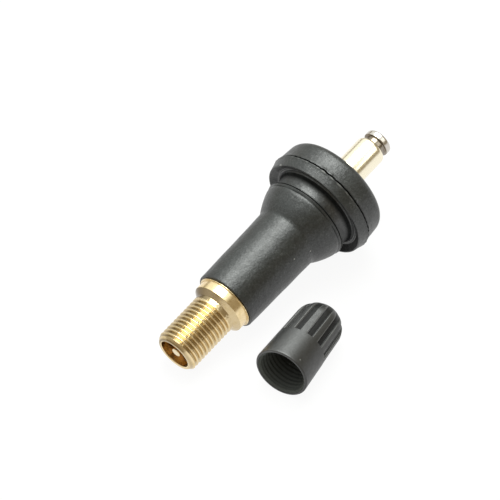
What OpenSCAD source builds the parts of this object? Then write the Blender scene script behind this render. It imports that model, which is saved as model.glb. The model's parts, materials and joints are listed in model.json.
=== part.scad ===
// Snap-in tyre valve with a rod for a pressure sensor, lying on its side, and its cap beside it.
// The valve's own pieces are drawn about one axis, with zero at the mouth and plus towards the inner end.

/* [Stem] */
// Diameter over the outside thread
thread_d = 7.7; // [7:0.05:8.4]
// Length from the mouth to the end of the outside thread
thread_len = 10.05; // [8:0.05:14]
// Length of the chamfer at the start of the thread
lead_len = 0.7; // [0.3:0.05:1.2]
// Width of the flat ring round the mouth
mouth_wall = 0.46; // [0.2:0.02:0.6]
// Length of the cone between the thread and the collar
cone_len = 0.73; // [0.3:0.01:1.5]
// Diameter of the collar
collar_d = 9.6; // [8.6:0.05:9.8]
// Length of the collar
collar_len = 1.6; // [0.8:0.05:3]
// Diameter of the thin lip that meets the rubber
lip_d = 10.2; // [9.5:0.05:10.4]
// Thickness of the lip
lip_w = 0.25; // [0.15:0.05:0.5]
// Diameter of the shank inside the rubber
shank_d = 8; // [6.5:0.1:9]
// Depth of the grip grooves in the shank
grip_depth = 0.3; // [0.1:0.05:0.6]
// Width of a grip groove
grip_w = 1.2; // [0.6:0.1:2]
// Number of grip grooves
grip_count = 3; // [1:1:4]
// Diameter of the waist inside the base, which locks the rubber on the stem
waist_d = 5; // [4:0.05:6]
// Diameter of the rod that carries the sensor
rod_d = 5.4; // [4.8:0.05:6]
// Length of the straight rod outside the rubber
rod_len = 8.45; // [5:0.05:14]
// Radius of the rounded shoulder at the end of the rod
shoulder_r = 0.7; // [0.2:0.05:0.9]
// Diameter of the neck that the sensor's clip holds
neck_d = 4; // [3:0.05:4.4]
// Length of the neck
neck_len = 0.86; // [0.5:0.02:2]
// Diameter of the head
head_d = 4.85; // [4.5:0.05:5.2]
// Length of the head
head_len = 1.2; // [0.9:0.05:2.5]
// Diameter of the air way
air_d = 2; // [1:0.05:2.6]

/* [Rubber body] */
// Diameter of the rubber at its end on the stem
sleeve_end_d = 11; // [10.5:0.02:11.4]
// Diameter of the sleeve where the flare starts
sleeve_d = 11.5; // [11:0.05:12.2]
// Length of the sleeve up to the flare
sleeve_len = 15.5; // [10:0.1:24]
// Length of the flare
flare_len = 4; // [2.5:0.1:6]
// Radius of the flare's swelling
flare_r = 14.5; // [5:0.5:30]
// Diameter of the bulb at the front of its band
crest_d = 15.3; // [14:0.05:15.7]
// Largest diameter of the bulb, which snaps behind the rim
bulb_d = 15.75; // [15.2:0.05:17]
// Width of the band on the bulb
band_w = 0.9; // [0.4:0.01:2]
// Diameter at the bottom of the rim groove
groove_d = 14.2; // [13:0.05:14.6]
// Width of the rim groove
groove_w = 3; // [2.4:0.05:5]
// Lean of the groove's back side, which sweeps up to the bead, in degrees
groove_lean = 58; // [45:1:75]
// Diameter of the raised bead on the flange
bead_d = 16.1; // [15.8:0.05:17.5]
// Thickness of the bead
bead_w = 0.36; // [0.2:0.02:0.6]
// Largest diameter of the flange
rim_d = 20.1; // [19.8:0.02:24]
// Thickness of the flange's edge in front of its parting line
rim_w = 1.95; // [1.2:0.05:2.4]
// Diameter of the flange at the edge of its sealing lip
rim_front_d = 19.15; // [18.2:0.05:19.4]
// Height of the sealing lip, which leans from the flange towards the rim
seal_rise = 0.9; // [0.3:0.05:1.1]
// Depth of the notch along the parting line
parting_depth = 0.35; // [0.1:0.05:0.5]
// Width of the notch along the parting line
parting_w = 0.3; // [0.1:0.02:0.4]
// Diameter of the base behind the parting line
base_d = 19.74; // [19.2:0.02:19.9]
// Diameter of the base at its back
base_back_d = 19.24; // [17:0.02:19.6]
// Length of the base
base_len = 4.52; // [3:0.02:8]
// Radius of the edge at the back of the base
base_edge_r = 1.5; // [0.2:0.05:2]

/* [Valve core] */
// Diameter of the plain bore at the mouth
mouth_bore_d = 5.57; // [5.3:0.01:5.7]
// Diameter of the bore that the core's plug screws into
core_bore_d = 5.2; // [5:0.05:5.5]
// Diameter of the bore round the lower core
chamber_d = 3.8; // [3.7:0.05:4.2]
// Depth of the pin's top below the mouth
pin_recess = 0.35; // [0.1:0.05:0.8]
// Travel of the pin
pin_travel = 1.2; // [0.6:0.05:1.4]
// Diameter of the pin
pin_d = 1; // [0.8:0.02:1.1]
// Diameter of the pin's head
pin_head_d = 1.6; // [1.3:0.05:2]
// Length of the pin's head
pin_head_len = 0.65; // [0.4:0.05:1]
// Length of the plug
plug_len = 3.8; // [3:0.05:5]
// Length of the plug's narrow bridge
bridge_len = 1.5; // [1:0.05:1.8]
// Width of the plug's narrow bridge
bridge_w = 2; // [1.7:0.05:2.6]
// Length of the barrel's flange
flange_len = 0.9; // [0.6:0.05:1.5]
// Length of the tapered barrel seal
seal_len = 2; // [1.4:0.05:3]
// Length of the barrel below its seal
barrel_len = 5; // [4:0.05:7]
// Inside diameter of the barrel
barrel_bore_d = 2.4; // [2.3:0.02:2.6]
// Diameter of the spring's wire
wire_d = 0.28; // [0.2:0.02:0.32]
// Number of turns in the spring
spring_turns = 6; // [4:1:7]
// Diameter of the cup
cup_d = 3.2; // [3:0.05:3.5]
// Length of the cup
cup_len = 1.25; // [1:0.05:1.8]

/* [Cap] */
// Wall of the cap at its mouth
cap_wall = 0.75; // [0.65:0.05:1.5]
// Length of the cap
cap_len = 15.5; // [14:0.05:20]
// Taper of the cap on each side, in degrees
cap_taper = 2.5; // [1:0.1:3]
// Length of the smooth skirt below the flutes
skirt_len = 6.2; // [4:0.1:8]
// Number of flutes
flute_count = 12; // [8:1:14]
// Width of a flute
flute_w = 1.05; // [0.6:0.05:1.4]
// Depth of a flute
flute_depth = 0.42; // [0.15:0.02:0.45]
// Distance from the tip of the cap to the upper end of the flutes
flute_fade = 0.85; // [0.5:0.05:1.6]
// Thickness of the cap at its tip
cap_tip = 3; // [2:0.1:4]
// Space between the cap's mouth and the widest line of the bulb
cap_gap = 3.38; // [2:0.02:10]
// Distance of the cap's mouth behind the mouth of the valve
cap_back = 7.6; // [4:0.1:12]
// Direction of the cap away from the line of the valve, in degrees
cap_yaw = 10.1; // [0:0.1:12]

/* [Fits] */
// Clearance round the moving pin
run_gap = 0.05; // [0.02:0.01:0.1]
// Clearance between pieces that are pressed or screwed together
fit_gap = 0.02; // [0.01:0.01:0.05]
// Clearance of the cap on the outside thread
cap_clearance = 0.05; // [0.03:0.01:0.15]

/* [Hidden] */
$fn = 96;

// Stations along the stem and the rubber body
collar_z = thread_len + cone_len;
lip_z = collar_z + collar_len;
sleeve_z = lip_z + lip_w;
flare_z = sleeve_z + sleeve_len;
crest_z = flare_z + flare_len;
groove_z = crest_z + band_w;
seat_z = groove_z + groove_w;
seal_z = seat_z - seal_rise;
rim_z = seal_z + rim_w;
base_z = rim_z + base_len;
rod_z = base_z + rod_len;
neck_z = rod_z + shoulder_r;
head_z = neck_z + neck_len;
stem_end = head_z + head_len;

// Radii of the stem, and of the small edges of the stem and the rubber
thread_r = thread_d / 2;
lead_r = mouth_bore_d / 2 + mouth_wall;
shoulder_share = 0.95;
shoulder_edge = min(shoulder_r, (rod_d - neck_d) / 2) * shoulder_share;
head_edge = 0.4;
head_front_edge = 0.2;
sleeve_edge = 0.14;
rim_edge = 0.12;
crease_r = 1.2;

// How far a cut runs past the piece that it opens
over = 1;

// Grip grooves are spread over the shank between the lip and the flare
shank_taper = (shank_d - waist_d) / 2;
grip_pitch = sleeve_len / (grip_count + 1);

// The groove is rounded in front, and its back side leans as far as its width leaves room for
groove_share = 0.17;
groove_front_r = min((bulb_d - groove_d) / 2, groove_w * groove_share);
bead_foot_r = bead_d / 2 - bead_w / 4;
groove_wall = bead_foot_r - groove_d / 2;
groove_foot_z = max(seat_z - groove_wall / tan(groove_lean), groove_z + 2 * groove_front_r);

// Stations of the valve core
stop_gap = 0.1;
plug_z = pin_recess + pin_head_len + pin_travel + stop_gap;
web_z = plug_z + bridge_len;
web_len = 0.6;
barrel_z = plug_z + plug_len;
ring_z = barrel_z + flange_len;
skirt_z = ring_z + seal_len;
barrel_end = skirt_z + barrel_len;
barrel_floor = 0.8;
floor_z = barrel_end - barrel_floor;
collar_drop = 1.3;
pin_collar_len = 0.4;
pin_collar_z = barrel_z + collar_drop;
spring_z = pin_collar_z + pin_collar_len;
cup_z = barrel_end + run_gap;
cup_wall = 0.15;
cup_floor = 0.62;
cup_seal_len = cup_len - cup_floor;
rivet_len = 0.4;
rivet_z = cup_z + cup_len + fit_gap;
pin_end = rivet_z + rivet_len;
chamber_spare = 1;
chamber_end = pin_end + pin_travel + chamber_spare;
bore_run_out = 0.3;

// Radii of the valve core
core_bore_r = core_bore_d / 2;
chamber_r = chamber_d / 2;
seat_step = 0.3;
barrel_clear = 0.15;
seal_wall = 0.25;
rivet_step = 0.3;
seat_r = core_bore_r - seat_step;
plug_r = core_bore_r - fit_gap;
flange_r = seat_r - fit_gap;
skirt_r = chamber_r - barrel_clear;
barrel_bore_r = barrel_bore_d / 2;
seal_groove_r = barrel_bore_r + seal_wall;
pin_r = pin_d / 2;
pin_collar_r = barrel_bore_r - barrel_clear;
floor_clear = 0.25;
floor_hole_r = pin_r + floor_clear;
air_hole_r = 0.45;
rivet_r = pin_r + rivet_step;
coil_r = (pin_r + barrel_bore_r) / 2;

// The valve rests on the first turn of its thread and on its flange's rim or sealing lip
rim_tilt = atan2(rim_d / 2 - thread_r, rim_z - lead_len);
seal_tilt = atan2(rim_front_d / 2 - thread_r, seal_z - lead_len);
rest_tilt = max(rim_tilt, seal_tilt);
mouth_height = thread_r * cos(rest_tilt) - lead_len * sin(rest_tilt);

// Cap: a cone that runs into a round end, with the flutes' floor as a second, inner cone and round end
cap_bore_r = thread_r + cap_clearance;
cap_r = cap_bore_r + cap_wall;
cap_step = 0.3;
cap_thread_len = skirt_len - cap_step;
cap_edge = 0.2;
cap_lead = 0.35;
dome_r = (cap_r - cap_len * tan(cap_taper)) / (1 / cos(cap_taper) - tan(cap_taper));
dome_z = cap_len - dome_r;
floor_r = dome_r - flute_depth;
fade_z = cap_len - flute_fade - dome_z;
fade_r = sqrt(dome_r * dome_r - fade_z * fade_z);
core_up = (fade_r * fade_r + fade_z * fade_z - floor_r * floor_r) / (2 * fade_z);
core_dome_r = sqrt(floor_r * floor_r + core_up * core_up);
cap_inner_wall = 0.6;
cap_cavity_r = floor_r - cap_inner_wall;
cap_cavity_edge = 1.5;
// One flute's edge is turned just clear of the surface, so that the cap lies on a land
flute_turn = 20.3;

// The part's own zero is on the surface that it lies on, below the middle of its outline
cap_side = bulb_d / 2 + cap_gap + cap_r;
front_x = -lead_r * sin(rest_tilt);
back_x = (stem_end - head_edge) * cos(rest_tilt) + (head_d / 2 - head_edge) * sin(rest_tilt) + head_edge;
mouth_x = -(front_x + back_x) / 2;
mouth_y = (cap_side + cap_r * cos(cap_yaw) - rim_d / 2) / 2;

function unit(v) = v / norm(v);
function lerp(a, b, t) = a + (b - a) * t;

// Half the angle at corner b between its sides towards a and c
function half_angle(a, b, c) = acos(unit(a - b) * unit(c - b)) / 2;

// Middle of the arc of radius r that rounds corner b
function arc_center(a, b, c, r) = b + unit(unit(a - b) + unit(c - b)) * r / sin(half_angle(a, b, c));

// The two points where that arc touches the sides of the corner
function arc_ends(a, b, c, r) =
  let (reach = r / tan(half_angle(a, b, c))) [b + unit(a - b) * reach, b + unit(c - b) * reach];

// The sliver between corner b and its arc, to be taken away from an outer edge
module edge_waste(a, b, c, r) {
  past_corner = 0.3;
  center = arc_center(a, b, c, r);
  ends = arc_ends(a, b, c, r);
  difference() {
    polygon([ends[0], lerp(b, center, -past_corner), ends[1]]);
    translate(center) circle(r);
  }
}

// The circle that hollows the filled inner corner b, to be taken away from an outline that runs over arc_ends
module fillet_waste(a, b, c, r) {
  translate(arc_center(a, b, c, r)) circle(r);
}

// The same where the whole circle would reach other edges: only its sector between the two ends of the arc
module sweep_waste(a, b, c, r) {
  past_corner = 0.3;
  center = arc_center(a, b, c, r);
  ends = arc_ends(a, b, c, r);
  intersection() {
    translate(center) circle(r);
    polygon([center, ends[0], lerp(b, center, -past_corner), ends[1]]);
  }
}

// The segment of a circle of radius r that swells out on the right of the line from a to b, and its root
module swell(a, b, r) {
  root = 0.5;
  along = unit(b - a);
  right = [along[1], -along[0]];
  center = (a + b) / 2 - right * sqrt(r * r - pow(norm(b - a) / 2, 2));
  intersection() {
    translate(center) circle(r);
    polygon([a - right * root, a + right * r, b + right * r, b - right * root]);
  }
}

// Puts a piece drawn about the valve's axis where the valve lies
module on_valve() {
  translate([mouth_x, mouth_y, mouth_height]) rotate([0, 90 - rest_tilt, 0]) children();
}

// Puts the cap, drawn about its own axis from its mouth, on the surface beside the valve
module on_cap() {
  translate([mouth_x + cap_back, mouth_y - cap_side, cap_r * cos(cap_taper)])
    rotate([0, 90 + cap_taper, cap_yaw]) children();
}

// Half section of the stem's outside
module stem_outline() {
  shank_r = shank_d / 2;
  shank_end = crest_z;
  rod_r = rod_d / 2;
  neck_r = neck_d / 2;
  head_r = head_d / 2;
  rod_corner = [rod_r, neck_z];
  head_front = [head_r, head_z];
  head_back = [head_r, stem_end];
  grips = [
    for (i = [1 : grip_count])
      let (low = sleeve_z + i * grip_pitch - grip_w / 2, high = low + grip_w)
        each [[shank_r, low], [shank_r - grip_depth, low], [shank_r - grip_depth, high], [shank_r, high]]
  ];
  difference() {
    polygon(concat(
      [
        [0, 0], [lead_r, 0], [thread_r, lead_len], [thread_r, thread_len],
        [collar_d / 2, collar_z], [collar_d / 2, lip_z], [lip_d / 2, lip_z], [lip_d / 2, sleeve_z],
        [shank_r, sleeve_z]
      ],
      grips,
      [
        [shank_r, shank_end], [waist_d / 2, shank_end + shank_taper], [waist_d / 2, base_z], [rod_r, base_z],
        rod_corner, [neck_r, neck_z], [neck_r, head_z], head_front, head_back, [0, stem_end]
      ]
    ));
    edge_waste([rod_r, rod_z], rod_corner, [neck_r, neck_z], shoulder_edge);
    edge_waste([0, head_z], head_front, head_back, head_front_edge);
    edge_waste(head_front, head_back, [0, stem_end], head_edge);
  }
}

// Half section of the way through the stem: mouth, core thread, seal cone, chamber and air way
module stem_bore() {
  air_r = air_d / 2;
  mouth_bore_r = mouth_bore_d / 2;
  polygon([
    [0, -over], [mouth_bore_r, -over], [mouth_bore_r, plug_z - bore_run_out], [core_bore_r, plug_z],
    [core_bore_r, barrel_z], [seat_r, barrel_z], [seat_r, ring_z], [chamber_r, skirt_z],
    [chamber_r, chamber_end], [air_r, chamber_end + chamber_r - air_r],
    [air_r, stem_end + over], [0, stem_end + over]
  ]);
}

// Half section of the rubber's outside
module rubber_outline() {
  sleeve_end = [sleeve_end_d / 2, sleeve_z];
  flare_start = [sleeve_d / 2, flare_z];
  crest = [crest_d / 2, crest_z];
  groove_r = groove_d / 2;
  groove_front = [groove_r, groove_z];
  groove_foot = [groove_r, groove_foot_z];
  bead_foot = [bead_foot_r, seat_z];
  dish_start = [bead_d / 2 + bead_w, seat_z];
  rim_front = [rim_front_d / 2, seal_z];
  rim = [rim_d / 2, rim_z];
  base_front = [base_d / 2, rim_z];
  base_back = [base_back_d / 2, base_z];
  bulb_edge = [bulb_d / 2, groove_z];
  sweep_share = 0.98;
  sweep_room = min(norm(bead_foot - groove_foot), groove_foot_z - groove_z - groove_front_r);
  sweep_r = sweep_room * sweep_share * tan(half_angle(groove_front, groove_foot, bead_foot));
  difference() {
    union() {
      polygon(concat(
        [[0, sleeve_z], sleeve_end],
        arc_ends(sleeve_end, flare_start, crest, crease_r),
        [crest, bulb_edge],
        arc_ends(bulb_edge, groove_front, groove_foot, groove_front_r),
        arc_ends(groove_front, groove_foot, bead_foot, sweep_r),
        [bead_foot, dish_start, rim_front, rim, base_front, base_back, [0, base_z]]
      ));
      swell(flare_start, crest, flare_r);
    }
    fillet_waste(sleeve_end, flare_start, crest, crease_r);
    fillet_waste(bulb_edge, groove_front, groove_foot, groove_front_r);
    sweep_waste(groove_front, groove_foot, bead_foot, sweep_r);
    edge_waste([0, sleeve_z], sleeve_end, flare_start, sleeve_edge);
    edge_waste(dish_start, rim_front, rim, rim_edge);
    edge_waste(base_front, base_back, [0, base_z], base_edge_r);
    polygon([
      [rim_d / 2, rim_z], [base_d / 2 - parting_depth, rim_z + parting_w / 2], [rim_d / 2, rim_z + parting_w]
    ]);
  }
  translate([bead_d / 2, seat_z]) circle(bead_w / 2);
}

module rubber_body() {
  color([0.13, 0.13, 0.13]) on_valve() rotate_extrude() difference() {
    rubber_outline();
    stem_outline();
  }
}

module stem() {
  color([0.80, 0.66, 0.36]) on_valve() rotate_extrude() difference() {
    stem_outline();
    stem_bore();
  }
}

// Threaded top of the core: a flat bridge round the pin, with an air hole on each side of it
module core_plug() {
  color([0.66, 0.46, 0.22]) on_valve() difference() {
    translate([0, 0, plug_z]) cylinder(r = plug_r, h = plug_len);
    for (side = [-1, 1])
      translate([side * (bridge_w / 2 + plug_r), 0, web_z - plug_len])
        cube(2 * [plug_r, plug_r + over, plug_len], center = true);
    cylinder(r = pin_r + run_gap, h = web_z + web_len + over);
    translate([0, 0, web_z + web_len]) cylinder(r = barrel_bore_r, h = plug_len);
    for (side = [-1, 1])
      translate([side * barrel_bore_r, 0, plug_z]) cylinder(r = air_hole_r, h = bridge_len + web_len + over);
  }
}

module core_barrel() {
  color([0.78, 0.63, 0.33]) on_valve() rotate_extrude() difference() {
    polygon([
      [0, barrel_z], [flange_r, barrel_z], [flange_r, ring_z], [seal_groove_r, ring_z],
      [seal_groove_r, skirt_z], [skirt_r, skirt_z], [skirt_r, barrel_end], [0, barrel_end]
    ]);
    translate([0, barrel_z - over]) square([barrel_bore_r, floor_z - barrel_z + over]);
    translate([0, barrel_z]) square([floor_hole_r, barrel_end]);
  }
}

// Tapered ring in the barrel's groove, with the same cone as the seat in the stem
module barrel_seal() {
  color([0.85, 0.84, 0.80]) on_valve() rotate_extrude() polygon([
    [seal_groove_r + fit_gap, ring_z + fit_gap],
    [seat_r - fit_gap * 2, ring_z + fit_gap],
    [chamber_r - fit_gap * 2, skirt_z - fit_gap],
    [seal_groove_r + fit_gap, skirt_z - fit_gap]
  ]);
}

// Round wire wound between the pin's collar and the floor of the barrel
module core_spring() {
  sides = 6;
  steps_per_turn = 16;
  steps = steps_per_turn * spring_turns;
  wire_r = wire_d / 2;
  low = spring_z + fit_gap + wire_r;
  high = floor_z - fit_gap - wire_r;
  points = [
    for (i = [0 : steps], j = [0 : sides - 1])
      let (turn = 360 * spring_turns * i / steps, round = 360 * j / sides, r = coil_r + wire_r * cos(round))
        [r * cos(turn), r * sin(turn), lerp(low, high, i / steps) + wire_r * sin(round)]
  ];
  walls = [
    for (i = [0 : steps - 1], j = [0 : sides - 1])
      let (a = i * sides + j, b = i * sides + (j + 1) % sides)
        [a, b, b + sides, a + sides]
  ];
  start = [for (j = [0 : sides - 1]) sides - 1 - j];
  end = [for (j = [0 : sides - 1]) steps * sides + j];
  color([0.70, 0.71, 0.72]) on_valve() polyhedron(points, concat([start], walls, [end]));
}

module core_pin() {
  color([0.86, 0.76, 0.55]) on_valve() rotate_extrude() polygon([
    [0, pin_recess], [pin_head_d / 2, pin_recess], [pin_head_d / 2, pin_recess + pin_head_len],
    [pin_r, pin_recess + pin_head_len], [pin_r, pin_collar_z], [pin_collar_r, pin_collar_z],
    [pin_collar_r, spring_z], [pin_r, spring_z], [pin_r, rivet_z], [rivet_r, rivet_z],
    [rivet_r, pin_end], [0, pin_end]
  ]);
}

module core_cup() {
  cup_r = cup_d / 2;
  color([0.78, 0.63, 0.33]) on_valve() rotate_extrude() difference() {
    translate([pin_r + fit_gap, cup_z]) square([cup_r - pin_r - fit_gap, cup_len]);
    translate([0, cup_z - over]) square([cup_r - cup_wall, cup_seal_len + over]);
  }
}

module cup_seal() {
  outer_r = cup_d / 2 - cup_wall - fit_gap;
  color([0.10, 0.10, 0.10]) on_valve() rotate_extrude()
    translate([pin_r + fit_gap, cup_z]) square([outer_r - pin_r - fit_gap, cup_seal_len - fit_gap]);
}

// Half section of the cap's outside
module cap_outline() {
  tangent_z = dome_z + dome_r * sin(cap_taper);
  mouth = [cap_r, 0];
  shoulder = [dome_r * cos(cap_taper), tangent_z];
  difference() {
    union() {
      polygon([[0, 0], mouth, shoulder, [0, tangent_z]]);
      intersection() {
        translate([0, dome_z]) circle(dome_r);
        translate([0, dome_z]) square(2 * dome_r);
      }
    }
    edge_waste([0, 0], mouth, shoulder, cap_edge);
  }
}

// Half section of the body that is left between the flutes
module cap_core_outline() {
  join_z = dome_z + core_up;
  union() {
    polygon([
      [0, 0], [cap_r - flute_depth, 0], [core_dome_r, join_z], [0, join_z]
    ]);
    intersection() {
      translate([0, join_z]) circle(core_dome_r);
      translate([0, join_z]) square(2 * core_dome_r);
    }
  }
}

// Half section of the cap's hollow: thread, step and moulded cavity
module cap_hollow() {
  top = [cap_cavity_r, cap_len - cap_tip];
  difference() {
    polygon([
      [0, -over], [cap_bore_r + cap_lead, -over], [cap_bore_r + cap_lead, 0], [cap_bore_r, cap_lead],
      [cap_bore_r, cap_thread_len],
      [cap_cavity_r, cap_thread_len], top, [0, top[1]]
    ]);
    edge_waste([cap_cavity_r, 0], top, [0, top[1]], cap_cavity_edge);
  }
}

module cap() {
  color([0.16, 0.17, 0.17]) on_cap() difference() {
    rotate_extrude() cap_outline();
    difference() {
      for (i = [0 : flute_count - 1])
        rotate([0, 0, 180 + flute_turn + i * 360 / flute_count])
          translate([0, -flute_w / 2, skirt_len]) cube([2 * cap_r, flute_w, cap_len]);
      rotate_extrude() cap_core_outline();
    }
    rotate_extrude() cap_hollow();
  }
}

rubber_body();
stem();
core_plug();
core_barrel();
barrel_seal();
core_spring();
core_pin();
core_cup();
cup_seal();
cap();
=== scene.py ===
import json
import math

import bpy
import numpy as np
from mathutils import Matrix, Quaternion, Vector


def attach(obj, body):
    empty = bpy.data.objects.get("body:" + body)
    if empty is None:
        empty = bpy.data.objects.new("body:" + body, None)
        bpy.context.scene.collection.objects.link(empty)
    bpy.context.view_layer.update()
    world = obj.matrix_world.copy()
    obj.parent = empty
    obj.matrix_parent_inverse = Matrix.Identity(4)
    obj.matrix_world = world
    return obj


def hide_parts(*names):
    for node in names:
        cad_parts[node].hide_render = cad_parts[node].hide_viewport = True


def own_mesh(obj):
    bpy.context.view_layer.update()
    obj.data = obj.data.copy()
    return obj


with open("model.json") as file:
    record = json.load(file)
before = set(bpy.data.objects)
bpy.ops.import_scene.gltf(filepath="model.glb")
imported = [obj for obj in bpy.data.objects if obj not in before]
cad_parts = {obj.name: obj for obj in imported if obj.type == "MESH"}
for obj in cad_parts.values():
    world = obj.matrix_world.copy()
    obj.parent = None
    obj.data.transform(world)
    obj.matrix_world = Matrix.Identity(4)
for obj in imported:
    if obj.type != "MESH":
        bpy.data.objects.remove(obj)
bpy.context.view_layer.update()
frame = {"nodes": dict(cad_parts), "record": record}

# Stem: one brass bar turned on a lathe, with a threaded mouth, a cone and a collar outside the rubber, a
# grooved shank inside it, and a rod, neck and head for the sensor. The rubber is moulded onto it, and its
# bore holds the valve core and leads the air. Sizes are in mm along the valve from its mouth, and out.
MM = 0.001
mouth_bore_r = 2.785
mouth_bore_end = 2.0
mouth_edge = 0.1
lead_r = 3.245
lead_end = 0.7
thread_r = 3.85
thread_end = 10.05
thread_pitch = 25.4 / 32
thread_depth = 0.43
thread_stop = 9.35
thread_run_out = 0.45
crest_wear = 0.02
collar_start = 10.78
collar_r = 4.8
collar_end = 12.38
lip_r = 5.1
rubber_start = 12.63
shank_r = 4.0
grip_r = 3.7
grip_w = 1.2
grip_middles = (16.505, 20.38, 24.255)
shank_end = 32.13
waist_r = 2.5
waist_start = 33.63
rubber_end = 41.6
rod_r = 2.7
rod_end = 50.75
rod_shoulder = 0.66
neck_r = 2.0
neck_edge = 0.02
head_start = 51.61
head_r = 2.425
head_front_edge = 0.18
head_back_edge = 0.4
stem_end = 52.81
air_r = 1.0
chamber_r = 1.9
chamber_end = 17.92
seat_r = 2.3
seat_start = 7.0
seat_end = 9.0
core_bore_r = 2.6
plug_start = 2.3
plug_end = 6.1
stem_columns = 180

# How dark the stem's soil and painted shade are: on the thread's crests and in its roots, on the cone, in the
# neck, in the mouth, and more on one side.
soil_and_shade_side = math.radians(118)
crest_soil_and_shade = 0.5
root_soil_and_shade = 0.6
thread_side_soil_and_shade = 0.6
cone_soil_and_shade = 0.9
neck_soil_and_shade = 1.4
neck_side_soil_and_shade = 0.3
mouth_soil_and_shade = 0.6
brass_bright = (0.89, 0.715, 0.43, 1)
brass_dull = (0.78, 0.60, 0.31, 1)
rod_pale = (0.93, 0.86, 0.68, 1)
head_grey = (0.62, 0.58, 0.53, 1)
soil_and_shade_brown = (0.12, 0.08, 0.035, 1)
bond_brown = (0.10, 0.07, 0.03, 1)


def unit(vector):
    """The vector at length one."""
    return vector / np.linalg.norm(vector)


def lying_down(axis):
    """The direction square to a lying axis that points most nearly down."""
    return np.cross(unit(np.cross((0, 0, 1), axis)), axis)


def outline(corners):
    """Half section through corners (along, out, radius, step). A straight line leads to each corner, cut into
    pieces no longer than its step, and a radius swaps the corner for the arc that touches both sides."""
    corners = np.array(corners, float)
    points = corners[:, :2]
    runs = [points[:1]]
    for i in range(1, len(points)):
        radius, step = corners[i, 2:]
        arc = points[i:i + 1]
        if radius > 0:
            back = unit(points[i - 1] - points[i])
            ahead = unit(points[i + 1] - points[i])
            half = math.acos(back @ ahead) / 2
            sweep = math.pi - 2 * half
            middle = points[i] + unit(back + ahead) * radius / math.sin(half)
            first = unit(points[i] + back * radius / math.tan(half) - middle)
            last = unit(points[i] + ahead * radius / math.tan(half) - middle)
            square = (last - math.cos(sweep) * first) / math.sin(sweep)
            turn = np.linspace(0, sweep, max(5, math.ceil(radius * sweep / step)))[:, None]
            arc = middle + radius * (np.cos(turn) * first + np.sin(turn) * square)
        start = runs[-1][-1]
        pieces = max(1, math.ceil(np.linalg.norm(arc[0] - start) / step))
        line = start + (arc[0] - start) * np.linspace(0, 1, pieces + 1)[1:, None]
        runs.append(np.concatenate([line, arc[1:]]))
    return np.concatenate(runs).T


def carried_round(along, out, angles, origin, axis):
    """Points of a turned surface: along the axis from its origin, and out from it at each angle. Angle 0
    points down, and a right-handed turn about the axis counts up."""
    down = lying_down(axis)
    spoke = np.cos(angles)[..., None] * down + np.sin(angles)[..., None] * np.cross(axis, down)
    return origin + along[..., None] * axis + out[..., None] * spoke


def listed(grid, ring):
    """A grid of points or values as one list. Without a ring, the first and last rows give one entry each."""
    entries = grid.reshape(-1, *grid.shape[2:])
    if ring:
        return entries
    columns = grid.shape[1]
    return np.concatenate([grid[0, :1], entries[columns:-columns], grid[-1, :1]])


def skin(name, points, ring=False, **marks):
    """Closed mesh over a grid of points in mm. Columns join up round the axis. In a ring the rows join up
    too, and otherwise the first and last rows are one point each, with a fan of triangles round it. The faces
    are turned outwards: the volumes of their pyramids from the frame's origin must sum to more than nothing.
    Marks are grids of values that the material can read."""
    rows, columns = points.shape[:2]
    spots = listed(points, ring)
    if ring:
        index = np.arange(rows * columns).reshape(rows, columns)
        index = np.concatenate([index, index[:1]])
    else:
        index = np.arange((rows - 2) * columns).reshape(rows - 2, columns) + 1
        ends = np.zeros((1, columns), int)
        index = np.concatenate([ends, index, ends + (rows - 2) * columns + 1])
    beside = np.roll(index, -1, 1)
    quads = np.stack([index[:-1], beside[:-1], beside[1:], index[1:]], -1)
    if ring:
        faces = quads.reshape(-1, 4)
        fans = np.zeros((0, 3), int)
    else:
        faces = quads[1:-1].reshape(-1, 4)
        fans = np.concatenate([quads[0][:, [0, 2, 3]], quads[-1][:, [0, 1, 2]]])
    a, b, c, d = np.moveaxis(spots[faces], 1, 0)
    if np.sum(a * (np.cross(b, c) + np.cross(c, d))) < 0:
        faces = faces[:, ::-1]
        fans = fans[:, ::-1]
    mesh = bpy.data.meshes.new(name)
    mesh.from_pydata((spots * MM).tolist(), [], faces.tolist() + fans.tolist())
    mesh.shade_smooth()
    for mark, values in marks.items():
        kept = mesh.attributes.new(mark, "FLOAT", "POINT")
        kept.data.foreach_set("value", listed(values, ring).astype(np.float32))
    return mesh


def thread_cut(along, angles, pitch):
    """Depth of a right-handed thread, from 0 on its crest to 1 at its root. The crest line climbs one pitch
    in a turn, and the depth rises on a flank that is rounded off into a narrow crest and a narrow root."""
    crest = 0.1
    flank = 0.8
    turns = along[:, None] / pitch - angles / (2 * math.pi)
    off_crest = 2 * np.abs(turns - np.round(turns))
    share = np.clip((off_crest - crest) / flank, 0, 1)
    return share * share * (3 - 2 * share)


def ripple(along, angles, lobes, length, seed):
    """Uneven surface of height about one that closes on itself: 24 sines of random phase that run round the
    axis, up to that many lobes in a turn, and along it, no shorter than that length."""
    random = np.random.default_rng(seed)
    waves = 24
    round_rate = random.integers(-lobes, lobes + 1, waves)
    along_rate = random.uniform(-2 * math.pi / length, 2 * math.pi / length, waves)
    phase = random.uniform(0, 2 * math.pi, waves)
    height = np.zeros((len(along), len(angles)))
    for k in range(waves):
        height += np.sin(along[:, None] * along_rate[k] + angles * round_rate[k] + phase[k])
    return height / math.sqrt(waves)


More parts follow.
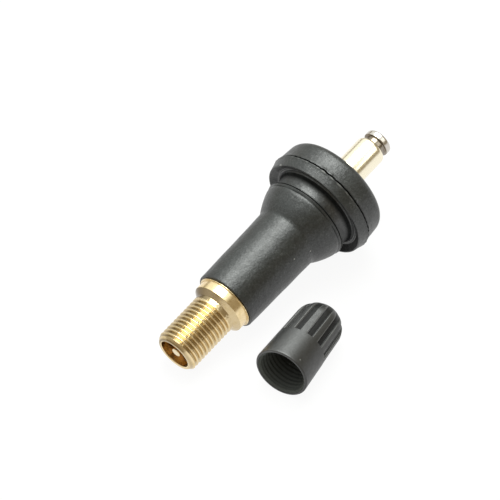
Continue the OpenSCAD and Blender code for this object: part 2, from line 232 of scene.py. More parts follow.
mounts = {mount["name"]: mount for mount in frame["record"]["mounts"]}
valve_axis = np.array(mounts["sensor_rod"]["axis"])
thread_middle = np.array(mounts["valve_thread"]["pos_m"]) / MM
valve_mouth = thread_middle - valve_axis * (lead_end + thread_end) / 2
grips = [
    (middle + side * grip_w / 2, radius, 0, 2)
    for middle in grip_middles
    for side, radius in ((-1, shank_r), (-1, grip_r), (1, grip_r), (1, shank_r))
]
stem_along, stem_out = outline([
    (mouth_bore_end, mouth_bore_r, 0, 1),
    (0, mouth_bore_r, mouth_edge, 0.2),
    (0, lead_r, 0.12, 0.08),
    (lead_end, thread_r, 0.12, 0.05),
    (thread_end, thread_r, 0.1, 0.05),
    (collar_start, collar_r, 0.12, 0.08),
    (collar_end, collar_r, 0.06, 0.12),
    (collar_end, lip_r, 0.06, 0.08),
    (rubber_start, lip_r, 0.06, 0.08),
    (rubber_start, shank_r, 0, 0.4),
    *grips,
    (shank_end, shank_r, 0, 2),
    (waist_start, waist_r, 0, 2),
    (rubber_end, waist_r, 0, 2),
    (rubber_end, rod_r, 0, 0.2),
    (rod_end, rod_r, rod_shoulder, 0.25),
    (rod_end, neck_r, neck_edge, 0.02),
    (head_start, neck_r, 0.12, 0.08),
    (head_start, head_r, head_front_edge, 0.06),
    (stem_end, head_r, head_back_edge, 0.06),
    (stem_end, air_r, 0.1, 0.1),
    (chamber_end + chamber_r - air_r, air_r, 0, 2),
    (chamber_end, chamber_r, 0, 0.5),
    (seat_end, chamber_r, 0, 2),
    (seat_start, seat_r, 0, 1),
    (plug_end, seat_r, 0, 0.5),
    (plug_end, core_bore_r, 0, 0.3),
    (plug_start, core_bore_r, 0, 1),
])
stem_angles = np.linspace(0, 2 * math.pi, stem_columns, endpoint=False)
past_mouth_edge = stem_out > mouth_bore_r + mouth_edge
threaded = past_mouth_edge & (stem_along < thread_end)
cut = thread_cut(stem_along, stem_angles, thread_pitch)
cut *= np.clip((thread_stop - stem_along) / thread_run_out, 0, 1)[:, None]
worn = crest_wear * np.minimum(ripple(stem_along, stem_angles, 60, 0.5, 3), 0)
turned = np.minimum(stem_out[:, None], thread_r - thread_depth * cut + worn)
stem_surface = np.where(threaded[:, None], turned, stem_out[:, None])

on_cone = past_mouth_edge & (stem_along > thread_stop) & (stem_along < collar_start)
on_neck = (stem_along > rod_end - neck_edge) & (stem_along < head_start + head_front_edge / 2)
on_neck &= stem_out > chamber_r
in_mouth = (stem_along > 2 * mouth_edge) & (stem_along < plug_start + mouth_edge)
in_mouth &= stem_out < mouth_bore_r + mouth_edge / 2
# Soil and painted shade on the stem: darker in the thread's roots, on the cone, in the neck below the head
# and in the mouth, and more on the side round the axis where the light leaves it darker.
soil_and_shade_by_side = np.maximum(np.cos(stem_angles - soil_and_shade_side), 0)
stem_sunk = np.select(
    [in_mouth[:, None], on_neck[:, None], on_cone[:, None], threaded[:, None]],
    [
        mouth_soil_and_shade,
        neck_soil_and_shade + neck_side_soil_and_shade * soil_and_shade_by_side,
        cone_soil_and_shade + soil_and_shade_by_side,
        (crest_soil_and_shade + root_soil_and_shade * cut) * (1 + thread_side_soil_and_shade * soil_and_shade_by_side),
    ])
stem_points = carried_round(
    stem_along[:, None] + 0 * stem_surface, stem_surface, stem_angles, valve_mouth, valve_axis)
stem_mesh = skin("brass_stem", stem_points, ring=True, sunk=stem_sunk)


def node(tree, kind, inputs=(), **settings):
    """Adds a node to a material's tree. Settings go on the node itself, and each input is set to a value or
    wired to another node's socket."""
    made = tree.nodes.new(kind)
    for key, value in settings.items():
        setattr(made, key, value)
    for key, value in dict(inputs).items():
        if isinstance(value, bpy.types.NodeSocket):
            tree.links.new(value, made.inputs[key])
        else:
            made.inputs[key].default_value = value
    return made


def finish(name):
    """A new material, its node tree and its Principled shader."""
    material = bpy.data.materials.new(name)
    material.use_nodes = True
    return material, material.node_tree, material.node_tree.nodes["Principled BSDF"]


def own_place(tree, origin, axis):
    """Socket with a point's place in mm about a lying axis: x down, y aside, and z along the axis from its
    origin."""
    place = node(tree, "ShaderNodeTexCoord").outputs["Object"]
    lie = math.acos(axis[2])
    yaw = math.atan2(axis[1], axis[0])
    return node(tree, "ShaderNodeMapping", {
        "Vector": place, "Location": origin * MM, "Rotation": (0, lie, yaw), "Scale": (MM, MM, MM)},
        vector_type="TEXTURE").outputs["Vector"]


def noise(tree, place, scale, detail=2.0, roughness=0.5):
    """Socket with cloud noise from 0 to 1 at a place, with features about 1 / scale long."""
    return node(tree, "ShaderNodeTexNoise", {
        "Vector": place, "Scale": scale, "Detail": detail, "Roughness": roughness}).outputs[0]


def ranged(tree, value, low, high, to_low, to_high):
    """Socket that carries a value from one range to another and stays inside it."""
    return node(tree, "ShaderNodeMapRange", {
        "Value": value, "From Min": low, "From Max": high, "To Min": to_low, "To Max": to_high}).outputs[0]


def mixed(tree, share, first, second):
    """Socket with a colour that goes from the first to the second with the share."""
    mix = node(tree, "ShaderNodeMix", data_type="RGBA")
    for socket, value in ((0, share), (6, first), (7, second)):
        if isinstance(value, bpy.types.NodeSocket):
            tree.links.new(value, mix.inputs[socket])
        else:
            mix.inputs[socket].default_value = value
    return mix.outputs[2]


def times(tree, first, second):
    """Socket with the product of two values."""
    return node(tree, "ShaderNodeMath", {0: first, 1: second}, operation="MULTIPLY").outputs[0]


def turned_brass(name, bright, dull, shine):
    """Brass fresh from the lathe: fine rings of the tool, which follow the sum of the place along the axis
    and out from it, dull clouds, a paler rod and a grey head, brown soil and painted shade where the mesh is
    marked for them, dark spots of bonding agent next to the rubber, and patches of roughness."""
    material, tree, shader = finish(name)
    place = own_place(tree, valve_mouth, valve_axis)
    apart = node(tree, "ShaderNodeSeparateXYZ", {0: place}).outputs
    along = apart[2]
    flat = node(tree, "ShaderNodeCombineXYZ", {0: apart[0], 1: apart[1]}).outputs[0]
    out = node(tree, "ShaderNodeVectorMath", {0: flat}, operation="LENGTH").outputs["Value"]
    feed = node(tree, "ShaderNodeMath", {0: along, 1: out}, operation="ADD").outputs[0]
    rings = node(tree, "ShaderNodeTexNoise", {
        "W": feed, "Scale": 9.0, "Detail": 3.0}, noise_dimensions="1D").outputs[0]
    clouds = noise(tree, place, 0.9, 4.0, 0.6)
    colour = mixed(tree, ranged(tree, clouds, 0.45, 0.75, 0.0, 1.0), bright, dull)
    colour = mixed(tree, ranged(tree, along, shank_end, rubber_end, 0.0, 1.0), colour, rod_pale)
    colour = mixed(tree, ranged(tree, along, rod_end - 0.1, rod_end + 0.1, 0.0, 1.0), colour, head_grey)
    sunk = node(tree, "ShaderNodeAttribute", attribute_name="sunk").outputs["Fac"]
    colour = mixed(tree, ranged(tree, sunk, 0.4, 2.0, 0.0, 1.0), colour, soil_and_shade_brown)
    beside = times(
        tree, ranged(tree, along, collar_end - 0.1, rubber_start, 0.0, 1.0),
        ranged(tree, along, rubber_start + 0.5, rubber_start + 1.0, 1.0, 0.0))
    spots = ranged(tree, noise(tree, place, 2.5, 3.0, 0.6), 0.38, 0.50, 0.0, 1.0)
    colour = mixed(tree, times(tree, beside, spots), colour, bond_brown)
    tree.links.new(colour, shader.inputs["Base Color"])
    patches = noise(tree, place, 2.5, 3.0)
    roughness = ranged(tree, patches, 0.3, 0.7, shine, shine + 0.1)
    tree.links.new(roughness, shader.inputs["Roughness"])
    bump = node(tree, "ShaderNodeBump", {"Height": rings, "Strength": 0.25, "Distance": 0.012 * MM})
    tree.links.new(bump.outputs[0], shader.inputs["Normal"])
    shader.inputs["Metallic"].default_value = 1.0
    return material


def show(name, mesh, material, body, cad_node):
    """A piece at the part's own origin that shows a mesh, rides on a body and stands for one of the
    frame's solids."""
    mesh.materials.append(material)
    piece = bpy.data.objects.new(name, mesh)
    bpy.context.scene.collection.objects.link(piece)
    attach(piece, body)
    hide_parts(cad_node)
    return piece


brass = turned_brass("turned brass", brass_bright, brass_dull, 0.17)
show("brass_stem", stem_mesh, brass, "valve", "stem")

# Rubber body: black rubber moulded round the stem and bonded to it. Its sleeve flares into the bulb that
# snaps through the rim hole, the groove behind takes the rim, and the flange and base seal on the inside.
# The mould's halves met on the bulb and behind the flange, where thin lines and ragged flash are left.
sleeve_end_r = 5.5
sleeve_r = 5.75
flare_start = 28.13
flare_swell = 0.3
crest = 32.13
crest_r = 7.65
bulb_r = 7.875
bulb_end = 33.03
groove_r = 7.1
groove_front_round = 0.5
groove_slope = math.radians(38)
groove_back_round = 3.6
flange_start = 36.03
bead_r = 8.05
bead_w = 0.36
dish_r = 8.41
seal_front = 35.13
seal_r = 9.575
flange_r = 10.05
flange_end = 37.08
parting_r = 9.4
parting_w = 0.3
base_r = 9.87
base_back_r = 9.62
base_edge = 1.5
bonded_r = 4.2
rubber_columns = 256

uneven_height = 0.018
crest_line = crest + 0.24
crest_line_depth = 0.13
bulb_line = bulb_end - 0.13
bulb_line_depth = 0.14
base_swell = 0.05
flange_swell = 0.04
flash_height = 0.03
flash_nibs = ((112, 0.16), (187.5, 0.12), (197, 0.1), (231.5, 0.2), (268, 0.12))
nib_w = 0.28
# Where round the axis the lip's painted glint lies, and how strongly it is painted.
lip_glint_side = 139
lip_glint_strength = 1.6
lip_clear = 0.15
ragged_wander = 0.03
coarse_wander = 0.04
shade_start = seal_front - 0.85
shade_fade = 0.9
dish_shade = 0.75
bead_shade = 0.10
dish_lit_side = 105
dish_lit_spread = 40
dish_lit_share = 0.7
crack_lit_side = 190
crack_lit_spread = 45
rubber_dark = (0.006, 0.0075, 0.0072, 1)
rubber_light = (0.012, 0.0148, 0.0142, 1)
scuff_grey = (0.085, 0.088, 0.086, 1)
# Colours of painted shade, of painted highlights and of the flat painted grey inside the cap's hollow follow.
painted_shade_black = (0.004, 0.004, 0.004, 1)
painted_highlight_grey = (0.20, 0.20, 0.19, 1)
hollow_painted_grey = (0.075, 0.080, 0.076, 1)
dust_pale = (0.30, 0.30, 0.28, 1)

flare_lean = math.atan2(crest_r - sleeve_r, crest - flare_start)
flare_middle = (
    (flare_start + crest) / 2 - flare_swell * math.sin(flare_lean),
    (sleeve_r + crest_r) / 2 + flare_swell * math.cos(flare_lean),
)
bead_foot = flange_start - bead_w / 4 / math.tan(groove_slope)
groove_foot = flange_start - (bead_r - bead_w / 4 - groove_r) / math.tan(groove_slope)
parting_line = flange_end + parting_w / 2
base_start = flange_end + parting_w
rubber_along, rubber_out = outline([
    (rubber_start, shank_r, 0, 1),
    (rubber_start, sleeve_end_r, 0.14, 0.2),
    (flare_start, sleeve_r, 1.2, 0.25),
    (*flare_middle, 13.0, 0.15),
    (crest, crest_r, 0.08, 0.06),
    (bulb_end, bulb_r, 0.05, 0.03),
    (bulb_end, groove_r, groove_front_round, 0.07),
    (groove_foot, groove_r, groove_back_round, 0.07),
    (bead_foot, bead_r - bead_w / 2, 0.02, 0.06),
    (flange_start - bead_w / 2, bead_r - bead_w / 2, 0.12, 0.06),
    (flange_start - bead_w / 2, bead_r + bead_w / 2, 0.12, 0.06),
    (flange_start, bead_r + bead_w / 2, 0.04, 0.06),
    (flange_start, dish_r, 0.05, 0.06),
    (seal_front, seal_r, 0.12, 0.06),
    (flange_end, flange_r, 0.06, 0.08),
    (parting_line, parting_r, 0.02, 0.05),
    (base_start, base_r, 0.07, 0.05),
    (rubber_end, base_back_r, base_edge, 0.12),
    (rubber_end, waist_r, 0, 0.5),
    (waist_start, waist_r, 0, 2),
    (shank_end, shank_r, 0, 2),
    *reversed(grips),
])
rubber_angles = np.linspace(0, 2 * math.pi, rubber_columns, endpoint=False)


def ridge(place, line, width):
    """Height of a rounded ridge: one on its line, about a third a width away and nearly nothing at two, as
    the exponential of minus the square of the distance in widths."""
    return np.exp(-((place - line) / width) ** 2)


outer = (rubber_out > bonded_r)[:, None]
along = rubber_along[:, None]
degrees = np.degrees(rubber_angles)
uneven = ripple(rubber_along, rubber_angles, 7, 4.0, 11)
ragged = ripple(rubber_along * 0, rubber_angles, 60, 1.0, 12)[:1]
coarse = ripple(rubber_along * 0, rubber_angles, 14, 1.0, 13)[:1]
broken = 0.8 + 0.3 * coarse
flash = flash_height * np.maximum(ragged, 0)
for angle, height in flash_nibs:
    flash = flash + height * ridge(rubber_angles * flange_r, math.radians(angle) * flange_r, nib_w)
rubber_surface = rubber_out[:, None] + outer * (
    uneven_height * uneven
    - crest_line_depth * broken * ridge(along, crest_line, 0.32)
    - bulb_line_depth * ridge(along, bulb_line, 0.06)
    + base_swell * ridge(along, base_start + 0.2, 0.35)
    + flange_swell * (1 + 0.5 * ragged) * ridge(along, flange_end - 0.1, 0.2)
    + flash * ridge(along, base_start + 0.1, 0.22)
)
wander = (ragged_wander * ragged + coarse_wander * coarse) * ridge(along, parting_line, 0.3)

# Painted shade: the crack at the parting line and the thin lines on the bulb are painted dark and dull, as
# the shade that falls in them.
crack_shade = ridge(along, parting_line, 0.2) * (1.0 + 0.3 * coarse + 0.2 * ragged)
mould_line_shade = ridge(along, bulb_line, 0.09) + 0.7 * broken * ridge(along, crest + 0.3, 0.12)
# Painted shade in the sweep and the dish before the flange's lip, fading in towards the lip, weaker on the
# bead and lighter on the side where the light falls into the dish.
before_lip = (rubber_along < flange_start + 0.1) & (rubber_out < seal_r - lip_clear)
on_bead = np.abs(rubber_out - bead_r) < bead_w
shade = before_lip * np.where(on_bead, bead_shade, dish_shade)
shade = shade * np.clip((rubber_along - shade_start) / shade_fade, 0, 1)
dish_lit = (rubber_out > bead_r)[:, None] * ridge(degrees, dish_lit_side, dish_lit_spread)
dark_dish = shade[:, None] * (1 - dish_lit_share * dish_lit)
# Painted highlights: a paler fringe in front of the crack on the side the light falls on, and a glint on the
# lip's front edge.
crack_lit = np.clip(ridge(degrees, crack_lit_side, crack_lit_spread) * (0.5 + 0.6 * ragged), 0, 1)
light_edge = crack_lit * ridge(along, flange_end - 0.12, 0.12)
on_lip = (rubber_out > seal_r - 0.3)[:, None] * ridge(along, seal_front + 0.1, 0.14)
lip_glint = on_lip * ridge(rubber_angles * seal_r, math.radians(lip_glint_side) * seal_r, nib_w)
rubber_sunk = np.clip(crack_shade + mould_line_shade + dark_dish - light_edge - lip_glint_strength * lip_glint, -1, 1)
# The groove behind the bulb is marked to be glossier: a painted sheen that brightens its highlight.
in_groove = (rubber_along > bulb_end) & (rubber_along < seal_front) & (rubber_out < bulb_r - 0.1)
rubber_points = carried_round(
    along + outer * wander, rubber_surface, rubber_angles, valve_mouth, valve_axis)
rubber_mesh = skin(
    "moulded_rubber", rubber_points, ring=True, sunk=outer * rubber_sunk,
    rubbed=in_groove[:, None] + 0 * rubber_sunk)


def moulded_black(name, origin, axis, dark, light, shine, grain, dust):
    """Black rubber or plastic from a mould: clouds of a slightly lighter colour, pale scuffs, shallow dents
    and fine grain in the surface, and a few specks of pale dust, which are the middles of some of the cells
    of a scattered pattern. Where the mesh is marked for painted shade it is dull and black; below nothing it
    is a paler grey, a painted highlight; and at two it is the inside of a hollow, painted a flat lighter grey
    with no gloss in place of its light. Where it is marked for a sheen boost it is glossier, a painted sheen."""
    material, tree, shader = finish(name)
    place = own_place(tree, origin, axis)
    clouds = noise(tree, place, 0.7, 5.0, 0.6)
    dents = noise(tree, place, 1.1, 4.0, 0.65)
    fine = noise(tree, place, 3.4, 4.0, 0.7)
    body = mixed(tree, ranged(tree, clouds, 0.35, 0.7, 0.0, 1.0), dark, light)
    scuffs = times(
        tree, ranged(tree, fine, 0.56, 0.68, 0.0, 1.0), ranged(tree, clouds, 0.48, 0.62, 0.0, grain))
    body = mixed(tree, scuffs, body, scuff_grey)
    sunk = node(tree, "ShaderNodeAttribute", attribute_name="sunk").outputs["Fac"]
    # Painted shade where the mark is high, a painted highlight where it is below nothing, and the flat
    # painted grey of a hollow at two.
    body = mixed(tree, ranged(tree, sunk, 0.35, 1.0, 0.0, 0.85), body, painted_shade_black)
    body = mixed(tree, ranged(tree, sunk, -0.1, -1.0, 0.0, 1.0), body, painted_highlight_grey)
    body = mixed(tree, ranged(tree, sunk, 1.2, 2.0, 0.0, 1.0), body, hollow_painted_grey)
    cells = node(tree, "ShaderNodeTexVoronoi", {"Vector": place, "Scale": 0.8}).outputs
    chosen = node(tree, "ShaderNodeSeparateColor", {0: cells["Color"]}).outputs[0]
    size = ranged(tree, chosen, 0.8, 1.0, 0.0, 0.12)
    speck = node(tree, "ShaderNodeMath", {0: cells["Distance"], 1: size}, operation="LESS_THAN").outputs[0]
    body = mixed(tree, times(tree, speck, dust), body, dust_pale)
    tree.links.new(body, shader.inputs["Base Color"])
    gloss = ranged(tree, fine, 0.32, 0.68, 0.72 - 0.4 * grain, 0.72 + 0.4 * grain)
    rubbed = node(tree, "ShaderNodeAttribute", attribute_name="rubbed").outputs["Fac"]
    gloss = times(tree, gloss, ranged(tree, rubbed, 0.0, 1.0, 1.0, 1.6))
    gloss = times(tree, gloss, ranged(tree, sunk, 0.15, 0.8, 1.0, 0.0))
    tree.links.new(gloss, shader.inputs["Specular IOR Level"])
    roughness = ranged(tree, dents, 0.3, 0.7, shine + 0.06, shine - 0.06)
    tree.links.new(roughness, shader.inputs["Roughness"])
    dented = node(tree, "ShaderNodeBump", {"Height": dents, "Strength": grain, "Distance": 0.14 * MM})
    grained = node(tree, "ShaderNodeBump", {
        "Height": fine, "Strength": grain, "Distance": 0.06 * MM, "Normal": dented.outputs[0]})
    tree.links.new(grained.outputs[0], shader.inputs["Normal"])
    return material


rubber = moulded_black(
    "moulded rubber", valve_mouth, valve_axis, rubber_dark, rubber_light, shine=0.40, grain=0.5, dust=0.7)
show("moulded_rubber", rubber_mesh, rubber, "valve", "rubber_body")

# Core barrel and its sealing ring: the lower housing of the valve core, turned from brass, and the tapered
# ring of sealing plastic in its groove. The plug presses the ring onto the cone inside the stem.
seal_shade = (0.78, 0.76, 0.70, 1)
seal_white = (0.88, 0.87, 0.83, 1)

sealing_plastic, seal_tree, seal_shader = finish("sealing plastic")
seal_clouds = noise(seal_tree, own_place(seal_tree, valve_mouth, valve_axis), 1.5, 3.0)
seal_colour = mixed(seal_tree, seal_clouds, seal_shade, seal_white)
seal_tree.links.new(seal_colour, seal_shader.inputs["Base Color"])
seal_shader.inputs["Roughness"].default_value = 0.45


def dress(cad_node, material):
    """Gives a solid of the frame its finish."""
    solid = frame["nodes"][cad_node]
    solid.data.materials.clear()
    solid.data.materials.append(material)


dress("core_barrel", brass)
dress("barrel_seal", sealing_plastic)

# Core spring: drawn steel wire wound round the pin, between the pin's collar and the floor of the barrel.
# It is squeezed towards that floor when the pin is pressed in.
spring_start = 7.82
spring_end = 13.18
coil_r = 0.85
wire_r = 0.14
spring_turns = 6
rings_per_turn = 48
wire_columns = 12
steel_dark = (0.55, 0.56, 0.57, 1)
steel_light = (0.72, 0.72, 0.72, 1)

wind = np.linspace(0, 2 * math.pi * spring_turns, rings_per_turn * spring_turns + 1)[:, None]
wire_angles = np.linspace(0, 2 * math.pi, wire_columns, endpoint=False)
wire_out = coil_r + wire_r * np.cos(wire_angles) + 0 * wind
wire_middle = np.linspace(spring_start + wire_r, spring_end - wire_r, len(wind))[:, None]
wire_along = wire_middle + wire_r * np.sin(wire_angles)
wire = carried_round(wire_along, wire_out, wind + 0 * wire_out, valve_mouth, valve_axis)
wire_start = np.broadcast_to(wire[0].mean(0), wire[:1].shape)
wire_stop = np.broadcast_to(wire[-1].mean(0), wire[:1].shape)
spring_mesh = skin("wound_spring", np.concatenate([wire_start, wire, wire_stop]))
spring_steel, steel_tree, steel_shader = finish("drawn steel wire")
steel_clouds = noise(steel_tree, own_place(steel_tree, valve_mouth, valve_axis), 4.0, 3.0)
steel_colour = mixed(steel_tree, steel_clouds, steel_dark, steel_light)
steel_tree.links.new(steel_colour, steel_shader.inputs["Base Color"])
steel_shader.inputs["Metallic"].default_value = 1.0
steel_shader.inputs["Roughness"].default_value = 0.3
spring = show("wound_spring", spring_mesh, spring_steel, "valve", "core_spring")
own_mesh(spring)

# Core pin with its cup: a turned brass pin with a flat head in the mouth, a collar for the spring, and a cup
# riveted on its lower end. A rubber ring in the cup closes the barrel until the pin is pressed in.
pin_top = 0.35
pin_head_r = 0.8
pin_head_end = 1.0
pin_r = 0.5
pin_collar_start = 7.4
pin_collar_end = 7.8
pin_collar_r = 1.05
rivet_start = 15.32
rivet_r = 0.8
pin_end = 15.72
pin_columns = 64
pin_bright = (0.88, 0.76, 0.52, 1)
pin_dull = (0.80, 0.64, 0.38, 1)

pin_along, pin_out = outline([
    (pin_top, 0, 0, 1),
    (pin_top, pin_head_r, 0.12, 0.1),
    (pin_head_end, pin_head_r, 0.06, 0.1),
    (pin_head_end, pin_r, 0.05, 0.1),
    (pin_collar_start, pin_r, 0, 0.5),
    (pin_collar_start, pin_collar_r, 0.06, 0.2),
    (pin_collar_end, pin_collar_r, 0.06, 0.2),
    (pin_collar_end, pin_r, 0, 0.2),
    (rivet_start, pin_r, 0, 1),
    (rivet_start, rivet_r, 0.03, 0.2),
    (pin_end, rivet_r, 0.15, 0.1),
    (pin_end, 0, 0, 0.2),
])
pin_angles = np.linspace(0, 2 * math.pi, pin_columns, endpoint=False)
pin_points = carried_round(
    pin_along[:, None] + 0 * pin_angles, pin_out[:, None] + 0 * pin_angles,
    pin_angles, valve_mouth, valve_axis)
pin_brass = turned_brass("pale pin brass", pin_bright, pin_dull, 0.22)
show("turned_pin", skin("turned_pin", pin_points), pin_brass, "plunger", "core_pin")
dress("core_cup", brass)
dress("cup_seal", rubber)

# Core plug: the threaded brass top of the valve core, with a flat bridge round the pin and an air hole on
# each side of it. It is screwed into the stem below the mouth.
# The core plug is given a darker, redder brass than the stem: painted shade for its place deep in the mouth.
core_bright = (0.66, 0.39, 0.18, 1)
core_dull = (0.56, 0.31, 0.13, 1)

core_shaded_brass = turned_brass("shaded core brass", core_bright, core_dull, 0.28)
dress("core_plug", core_shaded_brass)

# Cap: black plastic moulded in one piece, with a smooth skirt, flutes for the fingers that run out over its
# round end, and a thread inside its mouth. It is taken off and lies beside the valve. Sizes are in mm along
# the cap from its mouth, and out from its axis.
cap_r = 4.65
cap_len = 15.5
cap_taper = math.radians(2.5)
cap_edge = 0.2
skirt_len = 6.2
flute_count = 12
flute_w = 1.05
flute_depth = 0.42
flute_fade = 0.85
flute_edge = 0.07
first_flute = math.radians(200.3)
cap_bore_r = 3.9
cap_bore_start = 0.35
cap_bore_end = 5.9
cap_lip_r = 4.25
cap_cavity_wall = 0.6
cap_cavity_end = 12.65
cap_cavity_edge = 1.5
cap_thread_start = 0.65
cap_thread_end = 5.7
cap_thread_depth = 0.08
cap_thread_fade = 0.4
cap_columns_per_flute = 26
dome_rows = 44
fine_rows = 0.2

# Painted shade on the flute floors, painted highlights on their edges, and the mark of the hollow's flat
# painted grey.
flute_shade = 0.66
flute_rim_highlight = 0.4
hollow_mark = 2
# The side round the cap's axis that is made glossier, a painted sheen where the light is stronger.
rubbed_side = math.radians(150)
cap_dark = (0.011, 0.0117, 0.0115, 1)
cap_light = (0.015, 0.0157, 0.0152, 1)

dome_r = (cap_r - cap_len * math.tan(cap_taper)) / (1 / math.cos(cap_taper) - math.tan(cap_taper))
dome_middle = cap_len - dome_r
floor_r = dome_r - flute_depth
fade_up = dome_r - flute_fade
fade_r = math.sqrt(dome_r ** 2 - fade_up ** 2)
floor_up = (fade_r ** 2 + fade_up ** 2 - floor_r ** 2) / (2 * fade_up)
floor_dome_r = math.hypot(floor_r, floor_up)
floor_middle = dome_middle + floor_up
cavity_r = floor_r - cap_cavity_wall

dome_turn = np.linspace(math.pi / 2, cap_taper, dome_rows)
dome_along = dome_middle + dome_r * np.sin(dome_turn)
dome_out = dome_r * np.cos(dome_turn)
wall_along, wall_out = outline([
    (dome_along[-1], dome_out[-1], 0, 1),
    (skirt_len + fine_rows, cap_r - (skirt_len + fine_rows) * math.tan(cap_taper), 0, 0.2),
    (skirt_len - fine_rows, cap_r - (skirt_len - fine_rows) * math.tan(cap_taper), 0, 0.03),
    (0, cap_r, cap_edge, 0.2),
    (0, cap_lip_r, 0.05, 0.08),
    (cap_bore_start, cap_bore_r, 0.05, 0.08),
    (cap_bore_end, cap_bore_r, 0, 0.07),
    (cap_bore_end, cavity_r, 0.1, 0.1),
    (cap_cavity_end, cavity_r, cap_cavity_edge, 0.5),
    (cap_cavity_end, 0, 0, 0.4),
])
cap_along = np.concatenate([dome_along, wall_along[1:]])
cap_out = np.concatenate([dome_out, wall_out[1:]])
cap_out[0] = 0
outside = np.arange(len(cap_along)) < np.argmin(cap_along)


def smooth_step(value):
    """Rises from 0 at -1 to 1 at 1 with level ends."""
    share = np.clip(value / 2 + 0.5, 0, 1)
    return share * share * (3 - 2 * share)


def gathered_angles(count, per_flute):
    """Angles round the cap that crowd at the flutes' edges: equal steps of the angle plus a rise there,
    turned back into angles."""
    pitch = 2 * math.pi / count
    edge = math.asin(flute_w / 2 / (cap_r - skirt_len * math.tan(cap_taper)))
    crowd = 0.12
    spread = 0.02
    off = np.linspace(-pitch / 2, pitch / 2, 2001)
    rise = off + crowd * np.sign(off) * (1 + np.tanh((np.abs(off) - edge) / spread)) / 2
    steps = rise[0] + (rise[-1] - rise[0]) * np.arange(per_flute) / per_flute
    return (np.arange(count)[:, None] * pitch + np.interp(steps, rise, off)).ravel()


cap_angles = gathered_angles(flute_count, cap_columns_per_flute)
flute_pitch = 2 * math.pi / flute_count
off_middle = (cap_angles + flute_pitch / 2) % flute_pitch - flute_pitch / 2
across = np.abs(cap_out[:, None] * np.sin(off_middle))
cone_floor = (cap_r - flute_depth) + (floor_dome_r - cap_r + flute_depth) * cap_along / floor_middle
round_floor = np.sqrt(np.maximum(floor_dome_r ** 2 - (cap_along - floor_middle) ** 2, 0))
flute_floor = np.where(cap_along < floor_middle, cone_floor, round_floor)
flute_cut = np.maximum(cap_out - flute_floor, 0) * outside
past_skirt = smooth_step((cap_along - skirt_len) / flute_edge)[:, None]
slot = smooth_step((flute_w / 2 - across) / flute_edge) * past_skirt
in_bore = ~outside & (cap_along > cap_bore_start) & (cap_along < cap_bore_end) & (cap_out > cavity_r + 0.1)
from_thread_end = np.minimum(cap_along - cap_thread_start, cap_thread_end - cap_along)
thread_share = in_bore * np.clip(from_thread_end / cap_thread_fade, 0, 1)
cap_ridges = cap_thread_depth * thread_cut(cap_along, cap_angles, thread_pitch)
cap_surface = cap_out[:, None] - flute_cut[:, None] * slot - thread_share[:, None] * cap_ridges

fluted = ((flute_cut > 0.1) & (cap_along > skirt_len))[:, None]
flute_rim = ridge(across, flute_w / 2 + 0.1, 0.08) * fluted
in_hollow = (~outside & (cap_along > 0.04) & (cap_out < cap_lip_r))[:, None]
# Painted shade on the flute floors, painted highlights along the ribs' edges beside them, and the hollow
# inside painted a flat lighter grey in place of its light.
cap_sunk = flute_shade * slot * outside[:, None] - flute_rim_highlight * flute_rim * (1 - slot)
cap_sunk = cap_sunk + hollow_mark * in_hollow
# The cap is made glossier on one side round its axis, a painted sheen where the light is stronger.
cap_rubbed = np.maximum(np.cos(cap_angles + first_flute - rubbed_side), 0) ** 2 + 0 * cap_surface

cap_axis = -np.array(mounts["cap_thread"]["axis"])
cap_thread_middle = np.array(mounts["cap_thread"]["pos_m"]) / MM
cap_mouth = cap_thread_middle - cap_axis * (cap_bore_start + cap_bore_end) / 2
cap_points = carried_round(
    cap_along[:, None] + 0 * cap_surface, cap_surface, cap_angles + first_flute, cap_mouth, cap_axis)
cap_mesh = skin("fluted_cap", cap_points, sunk=cap_sunk, rubbed=cap_rubbed)
cap_plastic = moulded_black(
    "satin black plastic", cap_mouth, cap_axis, cap_dark, cap_light, shine=0.43, grain=0.18, dust=0.5)
cap = show("fluted_cap", cap_mesh, cap_plastic, "valve", "cap")
# The valve's gloss shows the room alone, with no image of the cap in it
cap.visible_glossy = False

# Floor: a wide sheet of white paper that the valve and its cap lie on. To the camera and in reflections it is
# mostly plain white, with a faint share of its lit surface, so that the shadow of the object stays on it.
floor_half = 3.0
floor_white_share = 0.93
paper_white = (0.88, 0.88, 0.88, 1)
plain_white = (1, 1, 1, 1)

floor_corners = floor_half * np.array([(-1, -1, 0), (1, -1, 0), (1, 1, 0), (-1, 1, 0)])
floor_mesh = bpy.data.meshes.new("paper_floor")
floor_mesh.from_pydata(floor_corners.tolist(), [], [(0, 1, 2, 3)])
paper = bpy.data.materials.new("white paper")
paper.use_nodes = True
paper_tree = paper.node_tree
paper_tree.nodes.clear()
rays = node(paper_tree, "ShaderNodeLightPath").outputs
seen = rays["Is Camera Ray"]
for ray in ("Is Glossy Ray", "Is Transmission Ray"):
    seen = node(paper_tree, "ShaderNodeMath", {0: seen, 1: rays[ray]}, operation="ADD").outputs[0]
white_share = times(paper_tree, seen, floor_white_share)
lit = node(paper_tree, "ShaderNodeBsdfDiffuse", {"Color": paper_white}).outputs[0]
plain = node(paper_tree, "ShaderNodeEmission", {"Color": plain_white, "Strength": 1.0}).outputs[0]
paper_mix = node(paper_tree, "ShaderNodeMixShader", {0: white_share, 1: lit, 2: plain})
node(paper_tree, "ShaderNodeOutputMaterial", {"Surface": paper_mix.outputs[0]})
floor_mesh.materials.append(paper)
floor = bpy.data.objects.new("paper_floor", floor_mesh)
bpy.context.scene.collection.objects.link(floor)

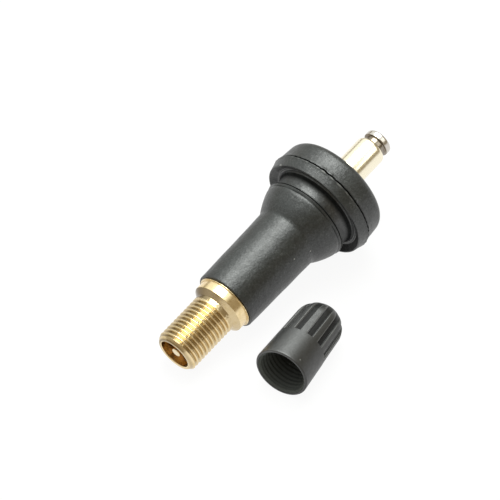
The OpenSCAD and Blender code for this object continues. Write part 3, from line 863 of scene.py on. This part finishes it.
# Light: a soft box high above the valve and a small reflector card beside its rod, in a room with dim, warm
# walls that is bright overhead, on the side behind the valve and low down on its near side.
softbox_way = unit(np.array((0.249, 0.209, 0.946)))
softbox_reach = 0.5
softbox_side = 0.35
softbox_watts = 2.85
lamp_colour = (0.965, 1.0, 0.97)
card_spot = np.array((33.5, -17.2, 37.4))
card_aim = np.array((24.0, 5.2, 12.2))
card_wide = 0.010
card_long = 0.018
card_watts = 0.0010
wall_colour = (0.36, 0.305, 0.215, 1)
bright_colour = (1.16, 1.20, 1.16, 1)
bright_way = (0.0, 0.426, 0.905)
bright_from = 0.50
bright_to = 0.66
sweep_way = (0.375, -0.927, 0.0)
sweep_from = 0.13
sweep_to = 0.06
sweep_full = 0.5


def lamp(name, spot, facing, wide, long, watts):
    """A rectangular light at a spot in m that shines against the facing direction, its long side across the
    valve."""
    data = bpy.data.lights.new(name, "AREA")
    data.shape = "RECTANGLE"
    data.size = wide
    data.size_y = long
    data.energy = watts
    data.color = lamp_colour
    made = bpy.data.objects.new(name, data)
    made.location = spot
    made.visible_camera = False
    across = unit(np.cross((0, 1, 0), facing))
    made.rotation_euler = Matrix((across, np.cross(facing, across), facing)).transposed().to_euler()
    bpy.context.scene.collection.objects.link(made)


lamp("softbox", softbox_way * softbox_reach, softbox_way, softbox_side, softbox_side, softbox_watts)
lamp("card", card_spot * MM, unit(card_spot - card_aim), card_wide, card_long, card_watts)
room = bpy.data.worlds.new("studio room")
room.use_nodes = True
bpy.context.scene.world = room
room_tree = room.node_tree
way = node(room_tree, "ShaderNodeTexCoord").outputs["Generated"]
height = node(room_tree, "ShaderNodeSeparateXYZ", {0: way}).outputs[2]


def toward(direction):
    """Socket with how far a place in the room lies toward a direction: the dot product of the two."""
    product = node(room_tree, "ShaderNodeVectorMath", {0: way, 1: direction}, operation="DOT_PRODUCT")
    return product.outputs["Value"]


overhead = ranged(room_tree, toward(bright_way), bright_from, bright_to, 0.0, 1.0)
sweep = times(
    room_tree, ranged(room_tree, height, sweep_from, sweep_to, 0.0, 1.0),
    ranged(room_tree, toward(sweep_way), 0.0, sweep_full, 0.0, 1.0))
room_colour = mixed(room_tree, overhead, wall_colour, bright_colour)
room_colour = mixed(room_tree, sweep, room_colour, plain_white)
room_tree.links.new(room_colour, room_tree.nodes["Background"].inputs["Color"])

# Camera: a long lens that looks down on the valve from beyond its mouth, as the photograph does. Its place is
# given by the turn and rise of its line of sight and its reach from the spot that it aims at, in mm.
camera_turn = math.radians(-49.558)
camera_rise = math.radians(47.712)
camera_roll = math.radians(0.238)
camera_reach = 402.7
camera_aim = Vector((-1.976, 9.829, 5.236))
camera_lens = 175.44
camera_sensor = 36
camera_near = 0.01

camera_data = bpy.data.cameras.new("camera")
camera_data.sensor_width = camera_sensor
camera_data.lens = camera_lens
camera_data.clip_start = camera_near
camera = bpy.data.objects.new("camera", camera_data)
back = Vector((
    math.sin(camera_turn) * math.cos(camera_rise),
    -math.cos(camera_turn) * math.cos(camera_rise),
    math.sin(camera_rise),
))
camera.location = (camera_aim + back * camera_reach) * MM
camera_turned = (-back).to_track_quat("-Z", "Y") @ Quaternion((0, 0, 1), camera_roll)
camera.rotation_euler = camera_turned.to_euler()
bpy.context.scene.collection.objects.link(camera)
bpy.context.scene.camera = camera
bpy.context.scene.view_settings.view_transform = "Standard"
